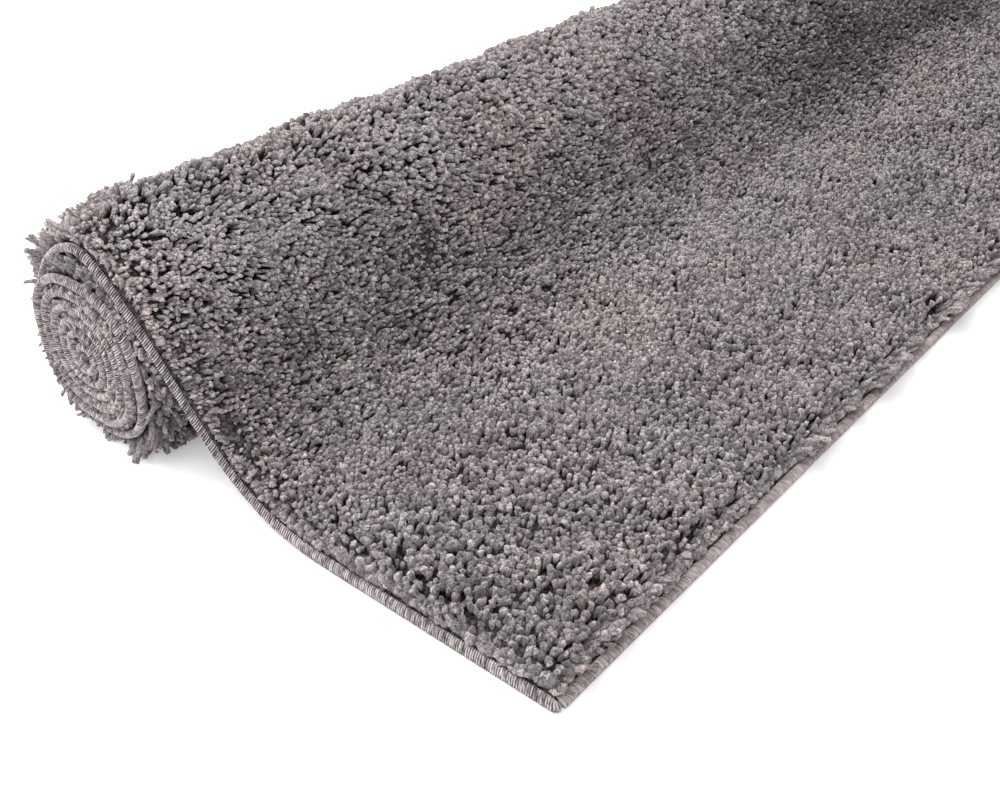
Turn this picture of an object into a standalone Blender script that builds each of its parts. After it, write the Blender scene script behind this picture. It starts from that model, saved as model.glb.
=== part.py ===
"""A shag rug, part rolled with its pile outwards, and its loose end laid flat in front.

The rug is one solid: the loose end, the outer turn that comes off the top of the roll, and
the wound roll. Its sides and its front end are bound, and the side bindings follow the cloth
round into the roll. X runs along the roll, Y from the front end to the roll, and Z is up.
"""

import math
import random

import bmesh
import bpy
from mathutils import Vector, noise

# Driving sizes, in metres.
RUG_WIDTH = 1.60
SIDE_BINDING = 0.0074  # diameter of the rope-like edge of the long sides
FRONT_BINDING_WIDTH = 0.0090
FRONT_BINDING_HEIGHT = 0.0066
GAP = 0.0003  # between neighbouring pieces, and under the bindings
SHEET_LEVEL = GAP + SIDE_BINDING / 2  # middle of the sheet over the floor, where it lies flat

# The outer turn, from the front end over the roll to the floor under it. One row for each
# section: its place along Y, the height of the sheet's middle, and the pile standing on it.
OUTER_TURN = (
    # y, z, pile
    (0.0000, SHEET_LEVEL, 0.0235),
    (0.0500, SHEET_LEVEL, 0.0235),
    (0.1000, SHEET_LEVEL, 0.0235),
    (0.1500, SHEET_LEVEL, 0.0235),
    (0.2000, SHEET_LEVEL, 0.0235),
    (0.2320, 0.0066, 0.0235),
    (0.2640, 0.0155, 0.0235),
    (0.2930, 0.0330, 0.0235),
    (0.3180, 0.0570, 0.0240),
    (0.3410, 0.0840, 0.0240),
    (0.3630, 0.1100, 0.0240),
    (0.3860, 0.1345, 0.0240),
    (0.4080, 0.1545, 0.0240),
    (0.4310, 0.1665, 0.0230),
    (0.4530, 0.1620, 0.0180),
    (0.4735, 0.1465, 0.0150),
    (0.4895, 0.1230, 0.0150),
    (0.5000, 0.0960, 0.0150),
    (0.5025, 0.0690, 0.0145),
    (0.4960, 0.0430, 0.0130),
    (0.4800, 0.0240, 0.0130),
    (0.4590, 0.0165, 0.0150),
    (0.4370, 0.0155, 0.0155),
)
RISE_FIRST = 4  # the row where the sheet leaves the floor
RISE_LAST = 11  # a row above the open space under the rising sheet
BACK_Y = 0.40  # the roll's back lies behind this

# The roll is wound a little askew: from the foot of the rise its sections stand towards -X by
# this much for each metre along Y.
ROLL_SKEW = 0.030

# The tight turns inside the outer one: an oval spiral, from the bottom of the roll inwards.
COIL_MIDDLE_Y = 0.4370
COIL_MIDDLE_Z = 0.0815
COIL_HALF_DEPTH = 0.0640
COIL_HALF_HEIGHT = 0.0660
COIL_SQUARENESS = 2.35  # exponent of the oval, 2 for an ellipse
TURN_PITCH = 0.0104  # from one turn to the next, front to back
CORE_SHARE = 0.18  # size of the innermost turn, as a share of the outermost
STEPS_PER_TURN = 24
FEWEST_STEPS = 12  # in the smallest turn

# The pile that stands on the first tight turn and fills the foot of the roll, from the
# floor up to where it meets the loose end. Columns: y, z.
ROLL_FOOT = (
    (0.4560, 0.0000),
    (0.3860, 0.0000),
    (0.3640, 0.0060),
    (0.3480, 0.0220),
    (0.3350, 0.0410),
)
NOTCH_Y = 0.3230  # how far the open space under the rising sheet reaches

# The front edge of the pile, which leans out over its binding. Columns: y, z.
FRONT_EDGE = (
    (FRONT_BINDING_WIDTH + 2 * GAP, 0.0000),
    (FRONT_BINDING_WIDTH + 2 * GAP, 0.0080),
    (0.0068, 0.0150),
)
FIRST_PILE_Y = 0.0140

# The lumps and locks of the pile.
PILE_GRID = 0.025  # spacing of the sections along the sheet
SUBSTEPS = 8  # of the smooth curve, from one row of the outer turn to the next
STATION_PITCH = 0.020  # spacing of the sections along the roll
LUMP_HEIGHT = 0.0080
LUMP_SPACING = 0.045
RIM_DROP = 0.0080  # the rim's surface lies this much lower, and its locks make up the height
LOCK_LENGTHS = (0.0170, 0.0110)  # of the outermost row and the next
LOCK_LEANS = (0.55, 0.25)  # how far each row leans outwards, for a unit of its rise
LOCK_TIP = 0.35  # width of a lock's tip, as a share of its root
LOWEST_LOCK = 0.030  # no locks stand lower than this at the back of the roll
SEED = 7

COLLECTION = "shag_rug"
PILE_COLOUR = (0.26, 0.235, 0.24, 1.0)
BINDING_COLOUR = (0.33, 0.295, 0.30, 1.0)
CLOTH_ROUGHNESS = 0.95


def clear_scene():
    for item in list(bpy.data.objects):
        bpy.data.objects.remove(item)


def cloth_material(name, colour):
    material = bpy.data.materials.new(name)
    material.use_nodes = True
    shader = material.node_tree.nodes["Principled BSDF"]
    shader.inputs["Base Color"].default_value = colour
    shader.inputs["Roughness"].default_value = CLOTH_ROUGHNESS
    shader.inputs["Metallic"].default_value = 0.0
    return material


def add_object(name, data, collection, material):
    item = bpy.data.objects.new(name, data)
    collection.objects.link(item)
    data.materials.append(material)
    return item


def smooth_curve(rows, steps):
    """A Catmull-Rom curve through the rows, with this many steps from one to the next."""
    rows = [Vector(row) for row in rows]
    ends = [2 * rows[0] - rows[1]] + rows + [2 * rows[-1] - rows[-2]]
    curve = []
    for before, start, end, after in zip(ends, ends[1:], ends[2:], ends[3:]):
        for step in range(steps):
            t = step / steps
            bend = (2 * before - 5 * start + 4 * end - after) * t * t
            twist = (3 * start - before - 3 * end + after) * t**3
            curve.append((2 * start + (end - before) * t + bend + twist) / 2)
    return curve + [rows[-1]]


def evenly_spaced(points, spacing):
    """The line of points again, as near to this spacing as fits a whole number of steps."""
    places = [0.0]
    for start, end in zip(points, points[1:]):
        places.append(places[-1] + (end - start).length)
    count = round(places[-1] / spacing)
    spaced = []
    index = 0
    for step in range(count + 1):
        place = places[-1] * step / count
        while index < len(points) - 2 and places[index + 1] < place:
            index += 1
        share = (place - places[index]) / (places[index + 1] - places[index])
        spaced.append(points[index].lerp(points[index + 1], share))
    return spaced


def pile_normals(curve):
    """For each point, the direction in (y, z) in which the pile stands there."""
    normals = []
    for index in range(len(curve)):
        along = curve[min(index + 1, len(curve) - 1)] - curve[max(index - 1, 0)]
        normals.append(Vector((-along.y, along.x)).normalized())
    return normals


def oval_point(angle, size):
    """A point of the coil's oval in (y, z). Angle 0 is its bottom, a quarter turn its front."""
    across = math.sin(angle)
    up = -math.cos(angle)
    power = 2 / COIL_SQUARENESS
    across = math.copysign(abs(across) ** power, across)
    up = math.copysign(abs(up) ** power, up)
    return Vector(
        (
            COIL_MIDDLE_Y - COIL_HALF_DEPTH * size * across,
            COIL_MIDDLE_Z + COIL_HALF_HEIGHT * size * up,
        )
    )


def coil_points():
    """The tight turns, from the bottom of the roll to its core, as points in (y, z)."""
    whole_turns = COIL_HALF_DEPTH / TURN_PITCH
    points = []
    angle = 0.0
    size = 1.0
    while size > CORE_SHARE:
        points.append(oval_point(angle, size))
        steps = max(FEWEST_STEPS, round(STEPS_PER_TURN * math.sqrt(size)))
        angle += math.tau / steps
        size = 1 - angle / math.tau / whole_turns
    return points


def pile_surface():
    """The tips of the pile over the outer turn, as points in (y, z), down to the floor.

    One of them stands right over the foot of the rise.
    """
    turn = smooth_curve(OUTER_TURN, SUBSTEPS)
    tips = [row.xy + normal * row.z for row, normal in zip(turn, pile_normals(turn))]
    foot = RISE_FIRST * SUBSTEPS
    flat = [tip for tip in tips[: foot + 1] if tip.x > FIRST_PILE_Y]
    raised = [tip for tip in tips[foot:] if tip.y > GAP]
    return evenly_spaced(flat, PILE_GRID) + evenly_spaced(raised, PILE_GRID)[1:]


def underside():
    """The back of the rising sheet, from the roll down to where it lies flat."""
    rising = smooth_curve(OUTER_TURN[RISE_FIRST:RISE_LAST], 2)
    back = [row.xy - normal * SHEET_LEVEL for row, normal in zip(rising, pile_normals(rising))]
    below = [point for point in back[2:] if point.x < NOTCH_Y]
    return below[::-1] + [Vector((OUTER_TURN[RISE_FIRST][0], 0.0))]


def rug_outline():
    """The rug's section across the roll, once round: (y, z) points and the pile's normals.

    The pile's points run from the front edge over the roll to the floor behind it. The
    others are the underside and have no normal.
    """
    tips = pile_surface()
    outline = [(Vector(point), None) for point in FRONT_EDGE]
    outline += zip(tips, pile_normals(tips))
    outline += [(Vector(point), None) for point in ROLL_FOOT]
    outline += [(point, None) for point in underside()]
    return outline


def lump(x, y, z):
    place = Vector((x, y, z)) / LUMP_SPACING
    return LUMP_HEIGHT * noise.noise(place + Vector((SEED, 0.0, 0.0)))


def askew(y):
    """How far the cloth at this place stands along X from where it would if wound true."""
    return -ROLL_SKEW * max(0.0, y - OUTER_TURN[RISE_FIRST][0])


def fill_end(bm, ring, outline):
    """Closes one end of the roll with two flat faces that meet over the foot of the rise."""
    row_mark = bm.verts.layers.int["row"]
    foot_y = OUTER_TURN[RISE_FIRST][0]
    end = bmesh.ops.edgeloop_fill(bm, edges=ring)["faces"][0]
    piled = [v for v in end.verts if outline[v[row_mark]][1]]
    above = min(piled, key=lambda v: abs(v.co.y - foot_y))
    below = next(v for v in end.verts if v[row_mark] == len(outline) - 1)
    bmesh.utils.face_split(end, above, below)


def lofted_rug(outline, length):
    """The outline drawn out along X, with each vertex's station and row marked."""
    bm = bmesh.new()
    row_mark = bm.verts.layers.int.new("row")
    station_mark = bm.verts.layers.int.new("station")
    corners = []
    for row, (point, _) in enumerate(outline):
        corner = bm.verts.new((-length / 2, point.x, point.y))
        corner[row_mark] = row
        corners.append(corner)
    ring = [bm.edges.new(pair) for pair in zip(corners, corners[1:] + corners[:1])]
    fill_end(bm, ring, outline)
    stations = round(length / STATION_PITCH)
    for station in range(stations):
        grown = bmesh.ops.extrude_edge_only(bm, edges=ring)["geom"]
        ring = [item for item in grown if isinstance(item, bmesh.types.BMEdge)]
        corners = [item for item in grown if isinstance(item, bmesh.types.BMVert)]
        bmesh.ops.translate(bm, verts=corners, vec=(length / stations, 0, 0))
        for corner in corners:
            corner[station_mark] = station + 1
    fill_end(bm, ring, outline)
    return bm, stations


def is_pile(face, outline, row_mark):
    return len(face.verts) == 4 and all(outline[v[row_mark]][1] for v in face.verts)


def raise_lumps(bm, outline, stations):
    row_mark = bm.verts.layers.int["row"]
    station_mark = bm.verts.layers.int["station"]
    first_row = len(FRONT_EDGE)
    for vert in bm.verts:
        normal = outline[vert[row_mark]][1]
        if normal:
            rise = lump(*vert.co)
            from_side = min(vert[station_mark], stations - vert[station_mark])
            from_rim = min(from_side, vert[row_mark] - first_row)
            if from_rim < 2:
                rise -= RIM_DROP * (1 - from_rim / 2)
            vert.co.y += normal.x * rise
            vert.co.z = max(vert.co.z + normal.y * rise, GAP)


def skew_roll(bm):
    for vert in bm.verts:
        vert.co.x += askew(vert.co.y)


def grow_locks(bm, outline, stations):
    """Tapered locks on the two outermost rows of the pile's faces, leaning outwards."""
    row_mark = bm.verts.layers.int["row"]
    station_mark = bm.verts.layers.int["station"]
    chance = random.Random(SEED)
    first_row = len(FRONT_EDGE)
    roots = []
    for face in bm.faces:
        if is_pile(face, outline, row_mark):
            station = min(v[station_mark] for v in face.verts)
            row = min(v[row_mark] for v in face.verts)
            depth = min(station, stations - 1 - station, row - first_row)
            centre = face.calc_center_median()
            lying = centre.z < LOWEST_LOCK and centre.y > BACK_Y
            if depth < len(LOCK_LENGTHS) and not lying:
                roots.append((station, row - first_row, depth, face))
    roots.sort(key=lambda root: root[:2])
    for station, front_depth, depth, face in roots:
        outwards = Vector((0.0, 0.0, 0.0))
        if station <= depth:
            outwards.x = -1
        if station >= stations - 1 - depth:
            outwards.x = 1
        if front_depth <= depth:
            outwards.y = -1
        lean = outwards.normalized() * LOCK_LEANS[depth]
        jitter = Vector([chance.uniform(-0.15, 0.15) for _ in range(3)])
        direction = (face.normal + lean + jitter).normalized()
        length = LOCK_LENGTHS[depth] * chance.uniform(0.85, 1.15)
        tip = bmesh.ops.extrude_discrete_faces(bm, faces=[face])["faces"][0]
        centre = tip.calc_center_median()
        for vert in tip.verts:
            vert.co = centre + (vert.co - centre) * LOCK_TIP + direction * length


def join_flat_faces(bm, outline):
    """The underside's long strips, each made one face."""
    row_mark = bm.verts.layers.int["row"]
    plain = [v for v in bm.verts if not outline[v[row_mark]][1]]
    edges = [e for e in bm.edges if not any(outline[v[row_mark]][1] for v in e.verts)]
    bmesh.ops.dissolve_limit(bm, angle_limit=math.radians(0.05), verts=plain, edges=edges)


def build_rug(collection, material):
    outline = rug_outline()
    length = RUG_WIDTH - 2 * (SIDE_BINDING + GAP)
    bm, stations = lofted_rug(outline, length)
    raise_lumps(bm, outline, stations)
    skew_roll(bm)
    join_flat_faces(bm, outline)
    bmesh.ops.recalc_face_normals(bm, faces=bm.faces)
    bm.normal_update()
    grow_locks(bm, outline, stations)
    mesh = bpy.data.meshes.new("rug")
    bm.to_mesh(mesh)
    bm.free()
    return add_object("rug", mesh, collection, material)


def side_binding_path():
    """The middle of a side binding in (y, z), from the front corner to the roll's core."""
    flat = [Vector(row).xy for row in OUTER_TURN[:RISE_FIRST]]
    rising = [row.xy for row in smooth_curve(OUTER_TURN, 2)[2 * RISE_FIRST : -1]]
    return flat + rising + coil_points()


def build_side_binding(name, side, collection, material):
    curve = bpy.data.curves.new(name, "CURVE")
    curve.dimensions = "3D"
    curve.bevel_depth = SIDE_BINDING / 2
    curve.bevel_resolution = 1
    curve.use_fill_caps = True
    path = side_binding_path()
    spline = curve.splines.new("POLY")
    spline.points.add(len(path) - 1)
    middle = side * (RUG_WIDTH - SIDE_BINDING) / 2
    for point, place in zip(spline.points, path):
        point.co = (middle + askew(place.x), place.x, place.y, 1.0)
    return add_object(name, curve, collection, material)


def build_front_binding(collection, material):
    bm = bmesh.new()
    bmesh.ops.create_cone(
        bm,
        cap_ends=True,
        segments=10,
        radius1=0.5,
        radius2=0.5,
        depth=RUG_WIDTH - 2 * (SIDE_BINDING + GAP),
    )
    bmesh.ops.scale(bm, verts=bm.verts, vec=(FRONT_BINDING_HEIGHT, FRONT_BINDING_WIDTH, 1))
    mesh = bpy.data.meshes.new("binding_front")
    bm.to_mesh(mesh)
    bm.free()
    bar = add_object("binding_front", mesh, collection, material)
    bar.rotation_euler = (0, math.pi / 2, 0)
    bar.location = (0, FRONT_BINDING_WIDTH / 2, GAP + FRONT_BINDING_HEIGHT / 2)
    return bar


def centre_over_floor(items):
    """Moves the rug so that the origin is under the middle of its box, on the floor."""
    bpy.context.view_layer.update()
    corners = [item.matrix_world @ Vector(corner) for item in items for corner in item.bound_box]
    for axis in (0, 1):
        values = [corner[axis] for corner in corners]
        for item in items:
            item.location[axis] -= (min(values) + max(values)) / 2


def main():
    clear_scene()
    collection = bpy.data.collections.new(COLLECTION)
    bpy.context.scene.collection.children.link(collection)
    pile = cloth_material("shag_pile", PILE_COLOUR)
    items = [build_rug(collection, pile)]
    for name, side in (("binding_left", -1), ("binding_right", 1)):
        yarn = cloth_material(name + "_yarn", BINDING_COLOUR)
        items.append(build_side_binding(name, side, collection, yarn))
    yarn = cloth_material("binding_front_yarn", BINDING_COLOUR)
    items.append(build_front_binding(collection, yarn))
    centre_over_floor(items)


main()
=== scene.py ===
"""Looks of a shag rug, part rolled with its pile outwards: cut pile, woven back, bound edges.

X runs along the roll, Y from the front end to the roll, and Z is up, in metres.
"""

import math

import bpy
import numpy as np
from mathutils import Matrix, Vector, noise


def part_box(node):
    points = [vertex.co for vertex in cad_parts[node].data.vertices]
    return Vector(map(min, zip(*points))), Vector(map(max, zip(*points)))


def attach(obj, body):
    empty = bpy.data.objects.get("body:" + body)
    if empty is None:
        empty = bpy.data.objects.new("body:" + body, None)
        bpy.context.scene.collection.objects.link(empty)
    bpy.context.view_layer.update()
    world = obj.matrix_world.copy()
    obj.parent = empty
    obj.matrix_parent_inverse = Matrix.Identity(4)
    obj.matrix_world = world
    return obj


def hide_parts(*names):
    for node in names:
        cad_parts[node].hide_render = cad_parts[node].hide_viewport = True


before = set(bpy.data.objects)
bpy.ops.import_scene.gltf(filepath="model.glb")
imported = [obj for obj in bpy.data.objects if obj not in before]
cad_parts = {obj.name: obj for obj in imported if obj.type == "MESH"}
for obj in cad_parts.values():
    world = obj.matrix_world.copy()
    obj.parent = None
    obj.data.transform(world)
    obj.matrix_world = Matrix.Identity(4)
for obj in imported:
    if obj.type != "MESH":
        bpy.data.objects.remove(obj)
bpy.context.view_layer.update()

MM = 0.001
SEED = 7
chance = np.random.default_rng(SEED)

# The sheet's section, as the part's source draws it: the outer turn first, in metres.
SIDE_BINDING = 7.4 * MM
FRONT_BINDING_WIDTH = 9.0 * MM
FRONT_BINDING_HEIGHT = 6.6 * MM
GAP = 0.3 * MM
SHEET_LEVEL = GAP + SIDE_BINDING / 2
OUTER_TURN = (
    # y from the front end, z, pile
    (0.0000, SHEET_LEVEL, 0.0235),
    (0.0500, SHEET_LEVEL, 0.0235),
    (0.1000, SHEET_LEVEL, 0.0235),
    (0.1500, SHEET_LEVEL, 0.0235),
    (0.2000, SHEET_LEVEL, 0.0235),
    (0.2320, 0.0066, 0.0235),
    (0.2640, 0.0155, 0.0235),
    (0.2930, 0.0330, 0.0235),
    (0.3180, 0.0570, 0.0240),
    (0.3410, 0.0840, 0.0240),
    (0.3630, 0.1100, 0.0240),
    (0.3860, 0.1345, 0.0240),
    (0.4080, 0.1545, 0.0240),
    (0.4310, 0.1665, 0.0230),
    (0.4530, 0.1620, 0.0180),
    (0.4735, 0.1465, 0.0150),
    (0.4895, 0.1230, 0.0150),
    (0.5000, 0.0960, 0.0150),
    (0.5025, 0.0690, 0.0145),
    (0.4960, 0.0430, 0.0130),
    (0.4800, 0.0240, 0.0130),
    (0.4590, 0.0165, 0.0150),
    (0.4370, 0.0155, 0.0155),
)
COIL_MIDDLE = (0.4370, 0.0815)
COIL_HALF = (0.0640, 0.0660)
COIL_SQUARENESS = 2.35  # exponent of the oval, 2 for an ellipse
TURN_PITCH = 10.4 * MM  # from one turn to the next, front to back
CORE_SHARE = 0.015  # size of the innermost turn, as a share of the outermost
COIL_WOBBLE = 3.0 * MM  # how far the turns press each other out of true
WOBBLE_SIZE = 32 * MM
WOBBLE_TURNS = (0.3, 1.2)  # the turns over which the wobble sets in
OUTER_STEPS = 8  # of the smooth curve, from one row of the outer turn to the next
COIL_ROWS = 125  # rows of points to each tight turn
SMOOTHED_STEPS = 5  # the sheet's direction is evened out over this many
HALF_TURN = 0.22  # length of cloth in about half of the first tight turn
# Wound cloth has crept along X: from where, how far for each metre, and how far at most.
CREEP_FROM = 0.2
CREEP_SLOPE = 0.0185
CREEP_MOST = 13.7 * MM
# The pile on the tight turns. Columns: turns from the bottom of the roll inwards, pile.
COIL_PILE = (
    (0.000, 0.0155),
    (0.060, 0.0200),
    (0.125, 0.0280),
    (0.250, 0.0260),
    (0.375, 0.0240),
    (0.500, 0.0210),
    (0.625, 0.0140),
    (0.750, 0.0080),
    (1.000, 0.0076),
    (7.000, 0.0076),
)

left_edge_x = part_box("binding_left")[1].x - SIDE_BINDING / 2
right_edge_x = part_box("binding_right")[1].x - SIDE_BINDING / 2
front_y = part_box("binding_front")[0].y

# The camera, before anything else: low at the near corner, looking over the roll's left end.
CAMERA_PLACE = Vector((-0.3835, -0.2751, 0.55))  # from the near front corner, on the floor
near_corner = Vector((left_edge_x - SIDE_BINDING / 2, front_y, 0.0))
camera_data = bpy.data.cameras.new("camera")
camera_data.lens = 42.57
camera_data.sensor_width = 36.0
camera_data.clip_end = 60.0
camera = bpy.data.objects.new("camera", camera_data)
bpy.context.scene.collection.objects.link(camera)
camera_right = Vector((0.6408, -0.7677, 0.0)).normalized()
camera_back = Vector((-0.6352, -0.5301, 0.5617)).normalized()
camera_up = camera_back.cross(camera_right)
turned = Matrix((camera_right, camera_up, camera_back)).transposed().to_4x4()
camera.matrix_world = Matrix.Translation(near_corner + CAMERA_PLACE) @ turned
bpy.context.scene.camera = camera


# ---------------------------------------------------------------- the sheet


def ease(value, low, high):
    """Rises smoothly from 0 at the low value to 1 at the high one."""
    t = np.clip((value - low) / (high - low), 0.0, 1.0)
    return t * t * (3 - 2 * t)


def smooth_curve(rows, steps):
    """A Catmull-Rom curve through the rows, with this many steps from one to the next."""
    rows = np.array(rows, float)
    ends = np.vstack([2 * rows[0] - rows[1], rows, 2 * rows[-1] - rows[-2]])
    t = (np.arange(steps) / steps)[None, :, None]
    count = len(rows) - 1
    before, start, end, after = (ends[k : k + count, None] for k in range(4))
    bend = (2 * before - 5 * start + 4 * end - after) * t**2
    twist = (3 * start - before - 3 * end + after) * t**3
    curve = (2 * start + (end - before) * t + bend + twist) / 2
    return np.vstack([curve.reshape(-1, rows.shape[1]), rows[-1]])


def from_table(table, place):
    """The columns of a table after its first, read off at these places in the first."""
    places, *columns = np.array(table).T
    return [np.interp(place, places, column) for column in columns]


def coil_rows():
    """The tight turns from the bottom of the roll to its core: y, z and pile."""
    whole_turns = COIL_HALF[0] / TURN_PITCH
    turns = np.arange(0.5 / COIL_ROWS, whole_turns * (1 - CORE_SHARE), 1 / COIL_ROWS)
    size = 1 - turns / whole_turns
    across = np.sin(math.tau * turns)
    up = -np.cos(math.tau * turns)
    power = 2 / COIL_SQUARENESS
    across = np.sign(across) * np.abs(across) ** power
    up = np.sign(up) * np.abs(up) ** power
    (pile,) = from_table(COIL_PILE, turns)
    y = COIL_MIDDLE[0] - COIL_HALF[0] * size * across
    return np.column_stack([y, COIL_MIDDLE[1] + COIL_HALF[1] * size * up, pile])


def sheet_line(step=2 * MM):
    """The middle of the sheet along its whole length, by the distance s from the front end."""
    outer = smooth_curve(OUTER_TURN, OUTER_STEPS)
    rows = np.vstack([outer, coil_rows()])
    rows[:, 0] += front_y
    turned_in = np.maximum(0, np.arange(len(rows)) - len(outer)) / COIL_ROWS
    for k, (y, z, _) in enumerate(rows.copy()):
        push = COIL_WOBBLE * ease(turned_in[k], *WOBBLE_TURNS)
        for column, layer in enumerate((1.7, 5.1)):
            rows[k, column] += push * noise.noise((y / WOBBLE_SIZE, z / WOBBLE_SIZE, layer))
    walked = np.append(0.0, np.cumsum(np.hypot(*np.diff(rows[:, :2], axis=0).T)))
    s = np.arange(0.0, walked[-1], step)
    line = {"s": s}
    for column, name in enumerate(("y", "z", "pile")):
        line[name] = np.interp(s, walked, rows[:, column])
    window = np.hanning(SMOOTHED_STEPS + 2)[1:-1]
    for name in ("y", "z"):
        slope = np.gradient(line[name], s)
        padded = np.pad(slope, SMOOTHED_STEPS // 2, mode="edge")
        line["along_" + name] = np.convolve(padded, window / window.sum(), mode="valid")
    length = np.hypot(line["along_y"], line["along_z"])
    line["along_y"] /= length
    line["along_z"] /= length
    line["coil"] = walked[len(outer) - 1]
    return line


LINE = sheet_line()
COIL_START = LINE["coil"]
CLOTH_LENGTH = LINE["s"][-1]


def on_sheet(s, *columns):
    """Columns of the sheet's line, such as y or pile, at the distances s."""
    return [np.interp(s, LINE["s"], LINE[name]) for name in columns]


def room_outwards(s):
    """How far it is from each place on the tight turns to the turn outside it."""
    y, z = on_sheet(s, "y", "z")
    outer = LINE["s"][:, None] < s[None, :] - HALF_TURN
    apart = np.hypot(LINE["y"][:, None] - y[None, :], LINE["z"][:, None] - z[None, :])
    return np.where(outer, apart, 1.0).min(0)


def side_shift(s):
    """How far the cloth has crept along X where it is wound, by the distance s."""
    return -np.minimum(CREEP_MOST, CREEP_SLOPE * np.maximum(0.0, s - CREEP_FROM))


def sheet_frame(s):
    """The middle of the sheet at s with x = 0, its direction along s, and the pile's."""
    y, z, along_y, along_z = on_sheet(s, "y", "z", "along_y", "along_z")
    zero = np.zeros_like(y)
    middle = np.stack([zero, y, z], -1)
    along = np.stack([zero, along_y, along_z], -1)
    outward = np.stack([zero, -along_z, along_y], -1)
    return middle, along, outward


def field(x, s, wide, long, layer):
    """A smooth random height between about -1 and 1, in lumps this wide along X and long along s.

    Each layer, a whole number, has lumps of its own.
    """
    places = zip(np.ravel(x) / wide, np.ravel(s) / long)
    values = [1.6 * noise.noise((u, v, 7.3 * layer + 0.5)) for u, v in places]
    return np.array(values).reshape(np.shape(x))


# ---------------------------------------------------------------- materials


def colour(code):
    """A colour written as sRGB hex, in linear light."""
    values = [int(code[k : k + 2], 16) / 255 for k in (0, 2, 4)]
    return [v / 12.92 if v < 0.04045 else ((v + 0.055) / 1.055) ** 2.4 for v in values] + [1.0]


def add(tree, kind, inputs=None, stops=None, **settings):
    """Adds a node to the tree, with its settings, colour stops and links."""
    item = tree.nodes.new(kind)
    for name, value in settings.items():
        setattr(item, name, value)
    for place, value in (inputs or {}).items():
        if isinstance(value, bpy.types.NodeSocket):
            tree.links.new(value, item.inputs[place])
        else:
            item.inputs[place].default_value = value
    if stops:
        points = item.color_ramp.elements
        while len(points) < len(stops):
            points.new(1.0)
        for point, (place, shade) in zip(points, stops):
            point.position = place
            point.color = shade
    return item


def new_material(name, roughness, sheen, sheen_tint):
    """A material of fibres: no gloss, and a faint sheen where loose hairs catch the light."""
    material = bpy.data.materials.new(name)
    material.use_nodes = True
    shader = material.node_tree.nodes["Principled BSDF"]
    shader.inputs["Roughness"].default_value = roughness
    shader.inputs["IOR"].default_value = 1.5  # polypropylene and polyester yarns have 1.49 to 1.6
    shader.inputs["Specular IOR Level"].default_value = 0.25
    shader.inputs["Diffuse Roughness"].default_value = 1.0
    shader.inputs["Sheen Weight"].default_value = sheen
    shader.inputs["Sheen Roughness"].default_value = 0.45
    shader.inputs["Sheen Tint"].default_value = sheen_tint
    return material, material.node_tree, shader


def grey(value):
    """A grey in linear light."""
    return [value, value, value, 1.0]


def heat_set_pile():
    """Cut shag of heat-set yarn: matt, plump ends, pale at the tip, with painted shade that darkens
    each yarn towards its root in the depth of the pile.
    """
    material, tree, shader = new_material("heat_set_shag_pile", 0.95, 0.25, colour("B9AEB1"))
    tint, warmth, rise = (
        add(tree, "ShaderNodeAttribute", attribute_name=name).outputs["Fac"]
        for name in ("tint", "warmth", "rise")
    )
    # Two yarns are mixed in the pile, a cool grey and a pinkish one.
    cool, pink = (
        add(
            tree,
            "ShaderNodeValToRGB",
            {"Fac": tint},
            stops=[(0.0, colour(dark)), (0.5, colour(middle)), (1.0, colour(pale))],
        )
        for dark, middle, pale in (("7A7678", "A8A2A4", "D2CCCD"), ("83797A", "B3A4A4", "DDCFCE"))
    )
    yarn = add(
        tree,
        "ShaderNodeMix",
        {0: warmth, 6: cool.outputs["Color"], 7: pink.outputs["Color"]},
        data_type="RGBA",
    )
    # Painted shade: each yarn end is darkened from its tip down to its root, where the pile shades
    # itself.
    depth = add(
        tree,
        "ShaderNodeValToRGB",
        {"Fac": rise},
        stops=[
            (0.0, grey(0.24)),
            (0.5, grey(0.38)),
            (0.8, grey(0.63)),
            (0.93, grey(0.93)),
            (1.0, grey(1.0)),
        ],
    )
    yarn_with_painted_shade = add(
        tree,
        "ShaderNodeMix",
        {0: 1.0, 6: yarn.outputs[2], 7: depth.outputs["Color"]},
        data_type="RGBA",
        blend_type="MULTIPLY",
    )
    # Crimped fibres of 0.05 mm, drawn as flecks of 0.8 to 1.6 mm so that they show. They give
    # each end its salt-and-pepper look and its woolly outline.
    place = add(tree, "ShaderNodeTexCoord").outputs["Object"]
    fibres = add(
        tree,
        "ShaderNodeTexNoise",
        {"Vector": place, "Scale": 1 / (1.6 * MM), "Detail": 1.0, "Roughness": 0.8},
    )
    fleck = add(
        tree,
        "ShaderNodeMapRange",
        {
            "Value": fibres.outputs["Fac"],
            "From Min": 0.25,
            "From Max": 0.75,
            "To Min": 0.40,
            "To Max": 1.60,
        },
    )
    finished = add(
        tree,
        "ShaderNodeMix",
        {0: 1.0, 6: yarn_with_painted_shade.outputs[2], 7: fleck.outputs[0]},
        data_type="RGBA",
        blend_type="MULTIPLY",
    )
    tree.links.new(finished.outputs[2], shader.inputs["Base Color"])
    bump = add(
        tree,
        "ShaderNodeBump",
        {"Height": fibres.outputs["Fac"], "Strength": 1.0, "Distance": 2.2 * MM},
    )
    tree.links.new(bump.outputs["Normal"], shader.inputs["Normal"])
    return material


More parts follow.
